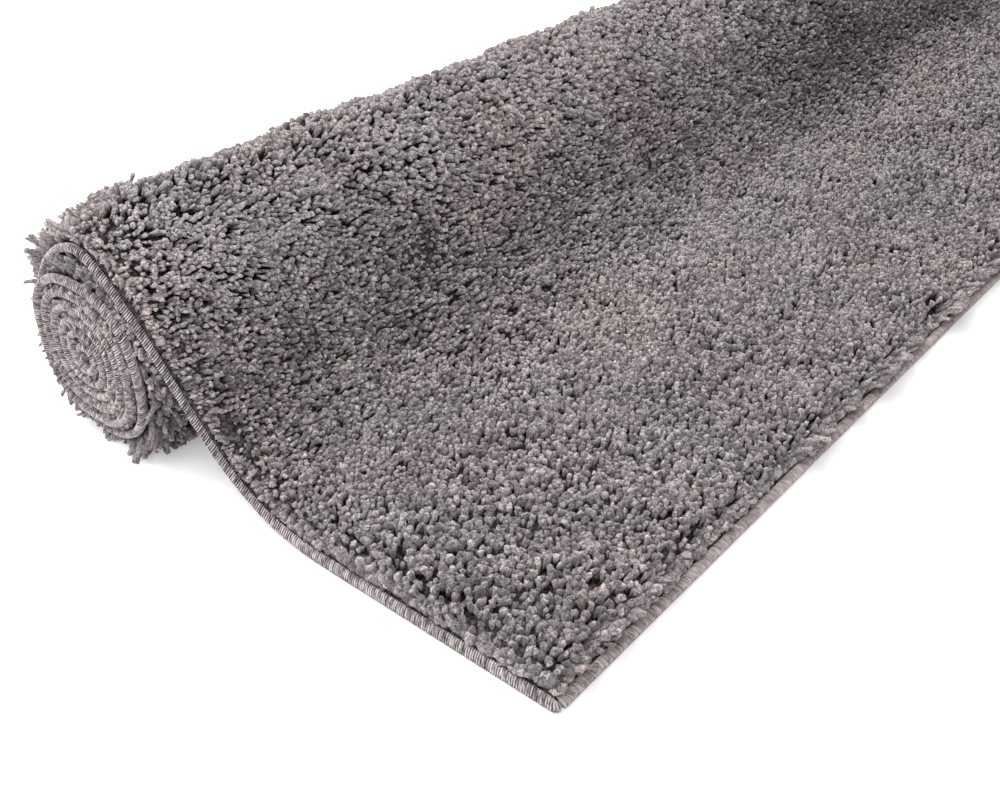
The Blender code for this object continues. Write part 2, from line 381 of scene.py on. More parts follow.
def overlocked_yarn(name, low, middle, high):
    """Textured overlock thread wound tightly round an edge: soft, pale ridges, with painted shade in
    the valleys between them and a painted shadow along the floor.
    """
    material, tree, shader = new_material(name, 0.85, 0.2, colour("C6B9BB"))
    stitch_and_shade = add(tree, "ShaderNodeAttribute", attribute_name="stitch_and_shade").outputs["Fac"]
    place = add(tree, "ShaderNodeTexCoord").outputs["Object"]
    # Fibres of 0.03 mm, drawn as flecks of 0.1 to 1 mm so that they break up each stitch.
    fibres = add(
        tree,
        "ShaderNodeTexNoise",
        {"Vector": place, "Scale": 1 / (1.0 * MM), "Detail": 3.0, "Roughness": 0.6},
    )
    mixed = add(tree, "ShaderNodeMath", {0: stitch_and_shade, 1: fibres.outputs["Fac"]}, operation="ADD")
    spread = add(
        tree,
        "ShaderNodeMapRange",
        {"Value": mixed.outputs[0], "From Min": 0.4, "From Max": 1.5},
    )
    shade = add(
        tree,
        "ShaderNodeValToRGB",
        {"Fac": spread.outputs[0]},
        stops=[(0.0, colour(low)), (0.5, colour(middle)), (1.0, colour(high))],
    )
    tree.links.new(shade.outputs["Color"], shader.inputs["Base Color"])
    bump = add(
        tree,
        "ShaderNodeBump",
        {"Height": fibres.outputs["Fac"], "Strength": 0.5, "Distance": 0.4 * MM},
    )
    tree.links.new(bump.outputs["Normal"], shader.inputs["Normal"])
    return material


def woven_back():
    """Woven secondary backing: flat tapes over and under each other, a dull grey grid."""
    material, tree, shader = new_material("woven_backing", 0.9, 0.1, colour("B0A8A4"))
    place = add(tree, "ShaderNodeTexCoord").outputs["UV"]
    # Tapes of 2.5 mm, 400 to the metre. The map is laid out in metres, so they run straight
    # along the cloth and across it, also where it is wound.
    weave = add(
        tree,
        "ShaderNodeTexChecker",
        {"Vector": place, "Scale": 1 / (2.5 * MM), "Color1": grey(0.35), "Color2": grey(0.65)},
    )
    shade = add(
        tree,
        "ShaderNodeValToRGB",
        {"Fac": weave.outputs["Fac"]},
        stops=[(0.0, colour("857E7B")), (1.0, colour("A39B97"))],
    )
    tree.links.new(shade.outputs["Color"], shader.inputs["Base Color"])
    bump = add(
        tree,
        "ShaderNodeBump",
        {"Height": weave.outputs["Fac"], "Strength": 0.5, "Distance": 0.3 * MM},
    )
    tree.links.new(bump.outputs["Normal"], shader.inputs["Normal"])
    return material


def pile_depth_painted_shade():
    """Shag deep between its ends, painted in its shade: dark cracks round dull lumps, all painted
    shade.
    """
    material, tree, shader = new_material("shag_pile_depth_painted_shade", 1.0, 0.0, grey(1.0))
    place = add(tree, "ShaderNodeTexCoord").outputs["Object"]
    # One cell to a yarn, 4 mm wide, with the fibres drawn as coarse as on the yarn ends.
    packed = add(tree, "ShaderNodeTexVoronoi", {"Vector": place, "Scale": 1 / (4.0 * MM)})
    fibres = add(
        tree,
        "ShaderNodeTexNoise",
        {"Vector": place, "Scale": 1 / (1.6 * MM), "Detail": 1.0, "Roughness": 0.8},
    )
    mixed = add(
        tree,
        "ShaderNodeMath",
        {0: packed.outputs["Distance"], 1: fibres.outputs["Fac"]},
        operation="SUBTRACT",
    )
    spread = add(
        tree,
        "ShaderNodeMapRange",
        {"Value": mixed.outputs[0], "From Min": 0.4, "From Max": -0.5},
    )
    # Painted shade: dark colours for the depth of the pile, darkest in the cracks between the yarns.
    shade = add(
        tree,
        "ShaderNodeValToRGB",
        {"Fac": spread.outputs[0]},
        stops=[(0.0, colour("1E1B1C")), (0.5, colour("4E494A")), (1.0, colour("7C7576"))],
    )
    tree.links.new(shade.outputs["Color"], shader.inputs["Base Color"])
    bump = add(
        tree,
        "ShaderNodeBump",
        {"Height": spread.outputs[0], "Strength": 1.0, "Distance": 3.0 * MM},
    )
    tree.links.new(bump.outputs["Normal"], shader.inputs["Normal"])
    return material


PILE = heat_set_pile()
# The darkest colour of each thread takes its painted shade in the valleys and its painted shadow
# along the floor.
SIDE_YARN = overlocked_yarn("overlocked_side_yarn", "332D2E", "978B8C", "EAE2E2")
FRONT_YARN = overlocked_yarn("overlocked_front_yarn", "5C5254", "B7AAA8", "E6DCDA")
BACK = woven_back()
PAINTED_DEPTH_SHADE = pile_depth_painted_shade()


# ---------------------------------------------------------------- meshes


CELL_MARGIN = 0.07  # round each tube in its cell of the map, as a share of the cell


def make_piece(
    name, points, faces, looks=None, uvs=None, uv_name="OFBake", material_of=None, materials=(PILE,)
):
    """A smooth mesh from points and lists of faces, with a value at each point for its looks."""
    mesh = bpy.data.meshes.new(name)
    mesh.vertices.add(len(points))
    mesh.vertices.foreach_set("co", np.ascontiguousarray(points, np.float32).ravel())
    corners = np.concatenate([np.ravel(group) for group in faces]).astype(np.int32)
    sizes = np.concatenate([np.full(len(group), group.shape[1]) for group in faces])
    starts = np.append(0, np.cumsum(sizes)[:-1]).astype(np.int32)
    mesh.loops.add(len(corners))
    mesh.loops.foreach_set("vertex_index", corners)
    mesh.polygons.add(len(sizes))
    mesh.polygons.foreach_set("loop_start", starts)
    for material in materials:
        mesh.materials.append(material)
    if material_of is not None:
        mesh.polygons.foreach_set("material_index", material_of.astype(np.int32))
    mesh.update(calc_edges=True)
    if uvs is not None:
        layer = mesh.uv_layers.new(name=uv_name)
        flat = np.concatenate([np.ravel(part) for part in uvs])
        layer.uv.foreach_set("vector", flat.astype(np.float32))
    for look, values in (looks or {}).items():
        attribute = mesh.attributes.new(look, "FLOAT", "POINT")
        attribute.data.foreach_set("value", np.ascontiguousarray(values, np.float32).ravel())
    mesh.shade_smooth()
    piece = bpy.data.objects.new(name, mesh)
    bpy.context.scene.collection.objects.link(piece)
    return piece


def closed_tubes(first, count, rings, sides):
    """Faces of many closed tubes: a foot point, then ring by ring, then a tip."""
    stride = rings * sides + 2
    starts = first + np.arange(count)[:, None, None] * stride
    ring = 1 + np.arange(rings - 1)[:, None] * sides
    side = np.arange(sides)
    after = (side + 1) % sides
    corners = (ring + side, ring + after, ring + sides + after, ring + sides + side)
    quads = np.stack(corners, -1).reshape(-1, 4)
    last = 1 + (rings - 1) * sides
    foot = np.stack([1 + after, 1 + side, np.zeros(sides, int)], -1)
    tip = np.stack([last + side, last + after, np.full(sides, stride - 1)], -1)
    ends = np.concatenate([foot, tip])
    return (starts + quads).reshape(-1, 4), (starts + ends).reshape(-1, 3)


def tube_cells(first, count, rings, sides, cells):
    """For each closed tube a cell of its own in the map, unrolled, with its foot at the bottom."""
    index = np.arange(first, first + count)
    origin = np.stack([index % cells, index // cells], -1)[:, None, None, :]
    ring = 1 + np.arange(rings - 1)[:, None]
    side = np.arange(sides)[None, :]
    corners = ((side, ring), (side + 1, ring), (side + 1, ring + 1), (side, ring + 1))
    quads = np.stack([np.stack(np.broadcast_arrays(u, v), -1) for u, v in corners], 2)
    one = np.arange(sides)
    foot = ((one + 1, 1), (one, 1), (one + 0.5, 0))
    tip = ((one, rings), (one + 1, rings), (one + 0.5, rings + 1))
    ends = [
        np.stack([np.stack(np.broadcast_arrays(u, v), -1) for u, v in end], 1) for end in (foot, tip)
    ]
    scale = (1 - 2 * CELL_MARGIN) / np.array([sides, rings + 1])
    quads = quads.reshape(1, -1, 4, 2) * scale + CELL_MARGIN
    ends = np.concatenate(ends)[None] * scale + CELL_MARGIN
    return (origin + quads) / cells, (origin + ends) / cells


# ---------------------------------------------------------------- the pile

TUFT_STEP = 3.9 * MM  # from one yarn end to the next in a row
ROW_STEP = 4.3 * MM  # from row to row
RIM_STEP = 3.6 * MM  # between the yarn ends right against the bindings
JITTER = 0.3  # how far a root stands out of its place, as a share of the step
YARN_RADIUS = 2.05 * MM
LOWEST = 0.5 * MM  # nothing of the pile reaches lower over the floor
LUMP_SPACING = 45 * MM
LUMP_HEIGHT = 8 * MM

# How a yarn end bends. Angles are in radians.
ROOT_ANGLE = 0.15  # at its root, for a unit of lean
BEND_ANGLE = 1.1  # from there to its tip, for a unit of lean
HOOK = 2.6  # how late it bends over: 1 for an even arc, more for a bent tip
ARC_PARTS = 8  # short straight parts from which its arc is worked out
LEAST_REACH = 0.45  # share of its length that a bent end is taken to reach outwards, at least
FRINGE_REACH = 0.45  # more of it in the fringe, where long bent ends would stick out
CURL = 0.15  # how far it curls aside, as a share of its length
MOST_CURL = 0.22
FRINGE_CURL = 1.8  # how much more it curls in the fringe
TWIST = 0.9  # how far its rings turn from root to tip
# How uneven it is. The first three are shares of its radius.
OVAL = 0.18
ROUGH = 0.40  # in and out round each ring
CRINKLE = 0.35  # up and down round each ring
RAGGED = 0.14  # random dips in its painted depth shade, round each ring
# Which way the nap lies over: the angle from X towards the front end.
LIE = 0.35
MORE_LIE_ON_TOP = 0.4

# Stretches of the sheet by the distance s from the front end, in metres. Each sets in over its
# first two places and ends over its last two.
LIFTED = (0.24, 0.34, 0.56, 0.64)  # off the floor, round to the roll's back
SPREAD_OPEN = (0.22, 0.34, 0.56, 0.64)  # bent outwards, so that the yarn ends part
DROOPING = (0.34, 0.44, 0.54, 0.60)  # over the roll's top, where the pile hangs to the front
ROLL_TOP = (0.38, 0.44, 0.53, 0.60)  # where the pile is longest and loosest
SHADED = (0.30, 0.36, 0.42, 0.50)  # the slope, darker away from the left end: painted shade
TURNED_UNDER = (0.58, 0.64, 0.74, 0.80)  # the back and the foot of the roll, where the fringe is painted paler: painted light
# Where something sets in for the rest of the sheet.
RISE_FROM = (0.24, 0.34)
TOP_FROM = (0.36, 0.44)
SHORT_RIM_FROM = (0.42, 0.48)
LOOSE_RIM_FROM = (0.44, 0.50)
FRINGE_FROM = (0.46, 0.52)
BACK_FROM = (0.55, 0.62)
LOW_BED_FROM = (0.47, 0.53)
FOOT_FROM = (0.74, 0.80)
WEDGE_FROM = (0.76, 0.82)
FAR_SIDE = (0.3, 1.0)  # in from the left end, where the far side starts and is whole
FRINGE_WIDTH = (6 * MM, 26 * MM)  # in from the bindings, where the fringe starts to end and ends

# How a yarn end is drawn: its sides, where its foot goes down into the bed and where its rings
# are as shares of its length, and how thick each ring is. The nearest come first, and those at
# the rims, which show their whole length, come last.
FORMS = (
    {"sides": 5, "foot": 0.45, "steps": (0.80, 0.965), "girth": (1.05, 1.12)},
    {"sides": 5, "foot": 0.45, "steps": (0.945,), "girth": (1.22,)},
    {"sides": 4, "foot": 0.50, "steps": (0.93,), "girth": (1.30,)},
    {
        "sides": 5,
        "foot": 0.02,
        "steps": (0.62, 0.95),
        "girth": (1.12, 0.95),
        "shade": 0.88,  # painted shade at its foot, where 0 is as dark as the painted shade of the pile's depth
        "rough": 0.45,
    },
)
NEAR_FORM, MIDDLE_FORM, FAR_FORM, RIM_FORM = range(4)
MIDDLE_FORM_BEYOND = 0.78  # metres from the camera
FAR_FORM_BEYOND = 1.25
BEHIND = 0.56  # from this s on the pile faces away from the camera
# How far in from the rims the rim form goes, up to the roll's back and past it.
RIM_SHOWN = (7 * MM, 18 * MM)
RIM_SHOWN_MORE = 0.50

# How far apart the roots are: where the sheet is lifted, where it lies flat, and at the back of
# the roll. Columns: from and to, as shares of the width from the left, and the steps as a share
# of the usual ones.
ZONES = (
    (0.0, 0.11, 0.68),
    (0.11, 0.5, 0.80),
    (0.5, 1.0, 0.98),
)
LOW_ZONES = (
    (0.0, 0.11, 0.92),
    (0.11, 0.5, 0.80),
    (0.5, 1.0, 0.97),
)
BACK_ZONES = (
    (0.0, 0.03, 0.72),
    (0.03, 0.97, 1.12),
    (0.97, 1.0, 0.9),
)
# Rows are closer, and the yarn ends in a row further apart, by this share. It is less where the
# sheet lies flat.
SQUASH = 0.82
FLAT_SQUASH = 0.94
FLAT_UP_TO = 0.25
# How the pile stands at the side bindings. Columns: distance s from the front end, outward lean
# right at the binding, how far in that lean reaches, height at the binding as a share.
SIDE_FLARE = (
    (0.000, 1.15, 0.007, 0.50),
    (0.220, 1.10, 0.007, 0.50),
    (0.300, 0.55, 0.006, 0.55),
    (0.400, 0.25, 0.006, 0.60),
    (0.440, 0.50, 0.009, 0.80),
    (0.490, 0.60, 0.012, 0.85),
    (0.530, 0.85, 0.014, 1.00),
    (0.590, 1.00, 0.016, 1.00),
    (0.655, 1.00, 0.016, 0.95),
    (0.690, 0.65, 0.012, 0.70),
    (0.900, 0.60, 0.012, 0.65),
)
# The same at the front binding, where it hangs over the band.
FRONT_LEAN = 1.25
FRONT_REACH = 7 * MM
FRONT_HEIGHT = 0.45
FRONT_ROOTS = 9.5 * MM  # from the front end to the first roots
FULL_HEIGHT_IN = (-1 * MM, 13 * MM)  # in from a rim, where the height starts to grow and is full
MOST_LEAN = 1.7  # further than this no yarn end falls over
LEAST_HEIGHT = 6 * MM
# Painted light and shade: the yarn's colour is paled or darkened by place, for the way the nap takes
# the light. Columns: distance s, how much paler near the left end, and away from it.
PAINTED_NAP_LIGHT = (
    (0.02, -0.04, 0.09),
    (0.10, -0.08, 0.06),
    (0.20, -0.05, 0.08),
    (0.26, 0.08, 0.34),
    (0.32, 0.03, 0.20),
    (0.36, -0.08, 0.00),
    (0.42, 0.20, 0.13),
    (0.48, 0.50, 0.44),
    (0.54, 0.46, 0.42),
    (0.62, 0.00, 0.00),
)


def along_sheet(s, stretch):
    """1 on a stretch of the sheet, and 0 before and after it."""
    return ease(s, *stretch[:2]) * (1 - ease(s, *stretch[2:]))


def jittered_rows(s_from, s_to, x_of_left, x_of_right, row_step=ROW_STEP, step=TUFT_STEP):
    """Roots in rows along X, each a little out of its place, every other row half a step on."""
    rows = max(1, round((s_to - s_from) / row_step))
    xs, ss = [], []
    for row in range(rows):
        s = s_from + (row + 0.5) * (s_to - s_from) / rows
        left, right = x_of_left(s), x_of_right(s)
        count = round((right - left) / step)
        places = np.arange(count) + 0.25 + 0.5 * (row % 2)
        xs.append(left + (places + chance.uniform(-JITTER, JITTER, count)) * (right - left) / count)
        ss.append(s + chance.uniform(-JITTER, JITTER, count) * row_step)
    return np.concatenate(xs), np.concatenate(ss)


def from_left(x, s):
    """How far each root is from the left binding."""
    return x - left_edge_x - side_shift(s) - SIDE_BINDING / 2


def from_right(x, s):
    """How far each root is from the right binding."""
    return right_edge_x + side_shift(s) - SIDE_BINDING / 2 - x


def lumps(x, s):
    """The low lumps that the part's source also has, by the place of the tips."""
    y, z, pile = on_sheet(s, "y", "z", "pile")
    _, _, outward = sheet_frame(s)
    tip_y = y - front_y + outward[:, 1] * pile
    tip_z = z + outward[:, 2] * pile
    size = LUMP_SPACING
    middle = (left_edge_x + right_edge_x) / 2
    places = zip((x - middle - side_shift(s)) / size + SEED, tip_y / size, tip_z / size)
    return LUMP_HEIGHT * np.array([noise.noise(place) for place in places])


def in_fringe(x, s):
    """1 in the loose fringe round the ends of the roll, 0 away from it."""
    gap = np.minimum(from_left(x, s), from_right(x, s))
    return ease(s, *FRINGE_FROM) * (1 - ease(gap, *FRINGE_WIDTH))


def arc(start, bend, share):
    """How far out and over a yarn end of unit length has got, at this share of it."""
    out, over = np.zeros_like(start), np.zeros_like(start)
    for part in range(ARC_PARTS):
        angle = start + bend * (share * (part + 0.5) / ARC_PARTS) ** HOOK
        out += np.cos(angle) * share / ARC_PARTS
        over += np.sin(angle) * share / ARC_PARTS
    return out, over


def yarn_ends(x, s, lean_x, lean_s, height, girth, stretch):
    """Where each yarn end stands, how it bends over, and how much wider it is along the nap."""
    middle, along, outward = sheet_frame(s)
    middle[:, 0] = x
    across = np.zeros_like(along)
    across[:, 0] = 1.0
    lean = np.hypot(lean_x, lean_s)
    aim = (across * lean_x[:, None] + along * lean_s[:, None]) / np.maximum(lean, 1e-6)[:, None]
    lie = LIE + MORE_LIE_ON_TOP * ease(s, *TOP_FROM)
    start = ROOT_ANGLE * lean
    bend = BEND_ANGLE * lean
    reach, over = arc(start, bend, np.ones_like(lean))
    length = height / np.maximum(reach, LEAST_REACH + FRINGE_REACH * in_fringe(x, s))
    # Where one bends down towards the floor, it ends above it.
    drop = np.maximum(-outward[:, 2] * reach - aim[:, 2] * over, 1e-6)
    length = np.minimum(length, np.maximum(middle[:, 2] - LOWEST - girth, MM) / drop)
    curl = chance.normal(0, CURL, len(x)).clip(-MOST_CURL, MOST_CURL)
    return {
        "foot": middle,
        "out": outward,
        "aim": aim,
        "aside": np.cross(outward, aim),
        "start": start,
        "bend": bend,
        "length": length,
        "girth": girth,
        "curl": curl * (1 + FRINGE_CURL * in_fringe(x, s)),
        "spin": chance.uniform(0, math.tau, len(x)),
        "oval": chance.uniform(-OVAL, OVAL, len(x)),
        "stretch": stretch,
        "pull": across * np.cos(lie)[:, None] - along * np.sin(lie)[:, None],
    }


def shaped(part, form):
    """The points of these yarn ends in this form, and how far up the yarn each one is."""
    count = len(part["length"])
    sides = form["sides"]
    rings, rises = [], []
    places = (form["foot"],) + form["steps"] + (1.0,)
    for share, girth in zip(places, (0.0,) + form["girth"] + (0.0,)):
        angle = part["start"] + part["bend"] * share**HOOK
        out, over = arc(part["start"], part["bend"], share)
        middle = (
            part["foot"]
            + part["out"] * (out * part["length"])[:, None]
            + part["aim"] * (over * part["length"])[:, None]
            + part["aside"] * (part["curl"] * share**2 * part["length"])[:, None]
        )
        points = 1 if girth == 0.0 else sides
        turn = part["spin"][:, None] + math.tau * np.arange(points) / points + TWIST * share
        rough = 1 + form.get("rough", ROUGH) * chance.uniform(-1, 1, (count, points))
        oval = 1 + part["oval"][:, None] * np.cos(2 * turn - part["spin"][:, None])
        radius = part["girth"][:, None] * girth * rough * oval
        inward = part["aim"] * np.cos(angle)[:, None] - part["out"] * np.sin(angle)[:, None]
        offset = (
            part["aside"][:, None, :] * (np.cos(turn) * radius)[:, :, None]
            - inward[:, None, :] * (np.sin(turn) * radius)[:, :, None]
        )
        along_pull = (offset * part["pull"][:, None, :]).sum(2, keepdims=True)
        offset += (part["stretch"][:, None, None] - 1) * along_pull * part["pull"][:, None, :]
        crinkle = chance.uniform(-CRINKLE, CRINKLE, (count, points)) * radius
        offset += part["out"][:, None, :] * crinkle[:, :, None]
        rings.append(middle[:, None, :] + offset)
        # The rise sets the painted depth shade of the yarn; the ragged dips darken it a little at
        # random.
        ragged = 0.0 if girth == 0.0 else RAGGED * chance.random((count, points))
        rises.append(np.full((count, points), form.get("shade", 0.0) * (1 - share) + share) - ragged)
    points = np.concatenate(rings, 1)
    points[:, :, 2] = np.maximum(points[:, :, 2], LOWEST)
    return points, np.concatenate(rises, 1)


def yarn_shades(x, s, painted_light):
    """How pale and how warm each yarn end is, from 0 to 1: heathered, in soft blotches, with the
    painted light and shade given added to its paleness.
    """
    far = ease(x, left_edge_x + FAR_SIDE[0], left_edge_x + FAR_SIDE[1])
    lifted = along_sheet(s, LIFTED)
    # Painted light: the fringe at the back and the foot of the roll is paled, against the shade it
    # stands in.
    painted_light = painted_light + 0.30 * in_fringe(x, s) * along_sheet(s, TURNED_UNDER)
    # Yarn ends that are drawn few and wide far away keep the contrast of many fine ones.
    spread = 0.27 + 0.10 * far + 0.06 * lifted
    tint = 0.5 + painted_light + spread * chance.normal(size=len(x)) + 0.10 * field(x, s, 0.06, 0.06, 3)
    warmth = 0.5 + 0.22 * chance.normal(size=len(x)) + 0.30 * field(x, s, 0.09, 0.09, 4)
    return tint, warmth


def plant(name, x, s, lean_x, lean_s, height, forms, girth=YARN_RADIUS, stretch=1.0, painted_light=0.0):
    """One joined piece of yarn ends at these roots, each in the form that its number names."""
    thickness = girth * chance.normal(1.0, 0.12, len(x)).clip(0.7, 1.35)
    ends = yarn_ends(x, s, lean_x, lean_s, height, thickness, stretch * np.ones_like(x))
    tint, warmth = yarn_shades(x, s, painted_light)
    cells = math.ceil(math.sqrt(len(x)))
    points, quads, tips, quad_cells, tip_cells = [], [], [], [], []
    looks = {"rise": [], "tint": [], "warmth": []}
    made, placed = 0, 0
    for number, form in enumerate(FORMS):
        chosen = forms == number
        count = int(chosen.sum())
        if not count:
            continue
        part, rise = shaped({key: values[chosen] for key, values in ends.items()}, form)
        rings, sides, each = len(form["steps"]), form["sides"], part.shape[1]
        some_quads, some_tips = closed_tubes(placed, count, rings, sides)
        cells_of_quads, cells_of_tips = tube_cells(made, count, rings, sides, cells)
        points.append(part.reshape(-1, 3))
        quads.append(some_quads)
        tips.append(some_tips)
        quad_cells.append(cells_of_quads.reshape(-1, 2))
        tip_cells.append(cells_of_tips.reshape(-1, 2))
        looks["rise"].append(rise.ravel())
        mixed = tint[chosen][:, None] + chance.uniform(-0.28, 0.28, (count, each))
        looks["tint"].append(mixed.clip(0, 1).ravel())
        looks["warmth"].append(np.repeat(warmth[chosen].clip(0, 1), each))
        made += count
        placed += count * each
    faces = (np.concatenate(quads), np.concatenate(tips))
    joined = {key: np.concatenate(values) for key, values in looks.items()}
    return make_piece(name, np.concatenate(points), faces, joined, quad_cells + tip_cells)


def leans(x, s):
    """Which way each yarn end falls over, and how far, as a lean along X and one along s."""
    count = len(x)
    spread_open = along_sheet(s, SPREAD_OPEN)
    # Each by itself, and in clumps of a few neighbours.
    angle = chance.uniform(0, math.tau, count)
    amount = 0.15 + 0.55 * chance.random(count) ** 1.5
    lean_x = 1.1 * amount * np.cos(angle) + 0.20 * field(x, s, 0.020, 0.016, 11)
    lean_s = (1 - 0.45 * spread_open) * amount * np.sin(angle) + 0.20 * field(x, s, 0.024, 0.014, 12)
    lean_x += 0.35 * (1 - 0.5 * spread_open) * field(x, s, 0.009, 0.008, 14)
    lean_s += 0.35 * (1 - 0.5 * spread_open) * field(x, s, 0.009, 0.008, 15)
    # All together the way the nap lies, and to the front where they hang over the roll's top.
    drooping = along_sheet(s, DROOPING)
    aside = (0.22 + 0.30 * spread_open) * (1 - 0.8 * drooping) * chance.uniform(0.6, 1.4, count)
    lean_x += aside * math.cos(LIE)
    lean_s -= aside * math.sin(LIE) + 0.55 * drooping * chance.uniform(0.5, 1.5, count)
    # In slanting ridges on the roll's top, and downwards at its back.
    lean_s += along_sheet(s, ROLL_TOP) * 0.45 * field((x - s) / 1.4, (x + s) / 1.4, 0.040, 0.010, 13)
    lean_s += 0.5 * ease(s, *BACK_FROM)
    return lean_x, lean_s


def rim_roots(s_from, s_to):
    """Two closer rows of roots right against the side bindings, and along the front end."""
    xs, ss = [], []
    for inset in (0.3 * MM, 2.8 * MM):
        s = np.arange(s_from, s_to, RIM_STEP)
        s += chance.uniform(-JITTER, JITTER, len(s)) * RIM_STEP
        gap = SIDE_BINDING / 2 + inset + chance.uniform(0.0, 1.2, len(s)) * MM
        xs += [left_edge_x + side_shift(s) + gap, right_edge_x + side_shift(s) - gap]
        ss += [s, s]
        if s_from < 2 * FRONT_BINDING_WIDTH:
            x = np.arange(left_edge_x + SIDE_BINDING, right_edge_x - SIDE_BINDING, RIM_STEP)
            xs.append(x + chance.uniform(-JITTER, JITTER, len(x)) * RIM_STEP)
            ss.append(s_from + inset + chance.uniform(0.0, 1.2, len(x)) * MM)
    return np.concatenate(xs), np.concatenate(ss)


def outer_roots(s_from, s_to, zones):
    """Roots on a stretch of the outer turn."""
    rim = 0.2 * MM + SIDE_BINDING / 2
    width = right_edge_x - left_edge_x - 2 * rim
    squash = SQUASH if s_from > FLAT_UP_TO else FLAT_SQUASH
    xs, ss = [], []
    for share_from, share_to, apart in zones:
        x, s = jittered_rows(
            s_from,
            s_to,
            lambda s: left_edge_x + side_shift(s) + rim + share_from * width,
            lambda s: left_edge_x + side_shift(s) + rim + share_to * width,
            ROW_STEP * apart * squash,
            TUFT_STEP * apart / squash,
        )
        xs.append(x)
        ss.append(s)
    rim_x, rim_s = rim_roots(s_from, s_to)
    return np.concatenate(xs + [rim_x]), np.concatenate(ss + [rim_s])


def near_rims(x, s):
    """How near each root is to the rims, 1 right at one, and how the pile stands there."""
    left, right = from_left(x, s), from_right(x, s)
    front = np.maximum(s - FRONT_ROOTS, 0)
    flare, reach, side_height = from_table(SIDE_FLARE, s)
    to_left, to_right = np.exp(-left / reach), np.exp(-right / reach)
    to_front = np.exp(-front / FRONT_REACH)
    clumps = 1.3 * field(x, s, 0.012, 0.030, 31) + 1.5 * field(x, s, 0.034, 0.050, 32)
    return {
        "side_gap": np.minimum(left, right),
        "front_gap": front,
        "flare": flare,
        "side_height": side_height,
        "to_front": to_front,
        "to_side": to_right - to_left,  # negative to the left
        "at_rim": np.maximum.reduce([to_left, to_right, to_front]),
        "short": ease(s, *SHORT_RIM_FROM),
        "clumps": clumps.clip(-1, 1),
    }


def rim_leans(x, s, rims, lean_x, lean_s):
    """The leans with the flare out over the rims added, and kept to what a yarn end can bend."""
    clumps, to_front = rims["clumps"], rims["to_front"]
    calm = 1 - 0.5 * rims["at_rim"] * (1 - ease(s, *LOOSE_RIM_FROM))
    flare = rims["flare"] * (1 + rims["short"] * chance.uniform(-0.6, 0.5, len(x)))
    lean_x = lean_x * calm + flare * rims["to_side"] + 0.25 * clumps * to_front
    lean_s = lean_s * calm - FRONT_LEAN * (1 + 0.55 * clumps) * to_front
    lean_s += 0.55 * in_fringe(x, s) * chance.normal(size=len(x)).clip(-1.4, 1.4)
    size = np.hypot(lean_x, lean_s)
    squeeze = np.minimum(1.0, MOST_LEAN / np.maximum(size, 1e-6))
    return lean_x * squeeze, lean_s * squeeze


def outer_height(x, s, share, rims):
    """How high each yarn end stands: uneven and lumpy, lower at the rims, higher on the roll."""
    at_rim, side_height = rims["at_rim"], rims["side_height"]
    (pile,) = on_sheet(s, "pile")
    height = pile * (1 + 0.06 * chance.normal(size=len(x)).clip(-2, 2)) + lumps(x, s)
    height += (1.2 + 1.3 * at_rim) * MM * field(x, s, 0.013, 0.011, 21)
    in_clumps = 0.5 * rims["clumps"] * rims["to_front"]
    height *= 1 + at_rim * chance.uniform(-0.25, 0.35, len(x)) + in_clumps
    height *= 1 - rims["short"] * ease(at_rim, 0.2, 0.5) * chance.uniform(0.1, 0.6, len(x))
    height *= side_height + (1 - side_height) * ease(rims["side_gap"], *FULL_HEIGHT_IN)
    height *= FRONT_HEIGHT + (1 - FRONT_HEIGHT) * ease(rims["front_gap"], *FULL_HEIGHT_IN)
    height = np.maximum(height - YARN_RADIUS * 0.4, LEAST_HEIGHT)
    near_left = ease(share, 0.0, 0.05) * (1 - ease(share, 0.16, 0.26))
    return height + along_sheet(s, ROLL_TOP) * (2.5 + 3.0 * near_left) * MM


def outer_forms(x, s, rims):
    """In which form each yarn end is drawn, by how well it shows."""
    middle, _, _ = sheet_frame(s)
    middle[:, 0] = x
    distance = np.linalg.norm(middle - np.array(camera.location), axis=1)
    forms = np.where(distance > MIDDLE_FORM_BEYOND, MIDDLE_FORM, NEAR_FORM)
    forms = np.where((s > BEHIND) | (distance > FAR_FORM_BEYOND), FAR_FORM, forms)
    shown = np.where(s > RIM_SHOWN_MORE, RIM_SHOWN[1], RIM_SHOWN[0])
    return np.where(np.minimum(rims["side_gap"], rims["front_gap"]) < shown, RIM_FORM, forms)


def painted_nap_light(share, s):
    """Painted light and shade: how much the yarn is paled at this share of the width, for the way the
    nap takes the light, and darkened on the slope away from the left end.
    """
    at_left, away = from_table(PAINTED_NAP_LIGHT, s)
    painted_light = at_left + (away - at_left) * ease(share, 0.02, 0.30)
    return painted_light - 0.38 * ease(share, 0.42, 0.62) * along_sheet(s, SHADED)


def outer_pile(name, s_from, s_to, zones=ZONES):
    """The yarn ends on a stretch of the outer turn."""
    x, s = outer_roots(s_from, s_to, zones)
    share = (x - left_edge_x) / (right_edge_x - left_edge_x)
    lean_x, lean_s = leans(x, s)
    rims = near_rims(x, s)
    lean_x, lean_s = rim_leans(x, s, rims, lean_x, lean_s)
    height = outer_height(x, s, share, rims)
    forms = outer_forms(x, s, rims)
    risen = ease(s, *RISE_FROM)
    loose = along_sheet(s, ROLL_TOP) * ease(share, 0.05, 0.25)
    girth = YARN_RADIUS * (1 + (0.35 - 0.30 * risen) * rims["at_rim"])
    girth *= 1 - 0.12 * risen + 0.12 * loose
    # Yarn ends that stand closer are drawn thinner, and the other way round.
    middles = [(share_from + share_to) / 2 for share_from, share_to, _ in zones]
    apart = np.interp(share, middles, [zone[2] for zone in zones])
    girth *= 1 + 0.7 * (apart - 1)
    stretch = 1.12 + 0.18 * risen + 0.22 * loose
    return plant(name, x, s, lean_x, lean_s, height, forms, girth, stretch, painted_nap_light(share, s))


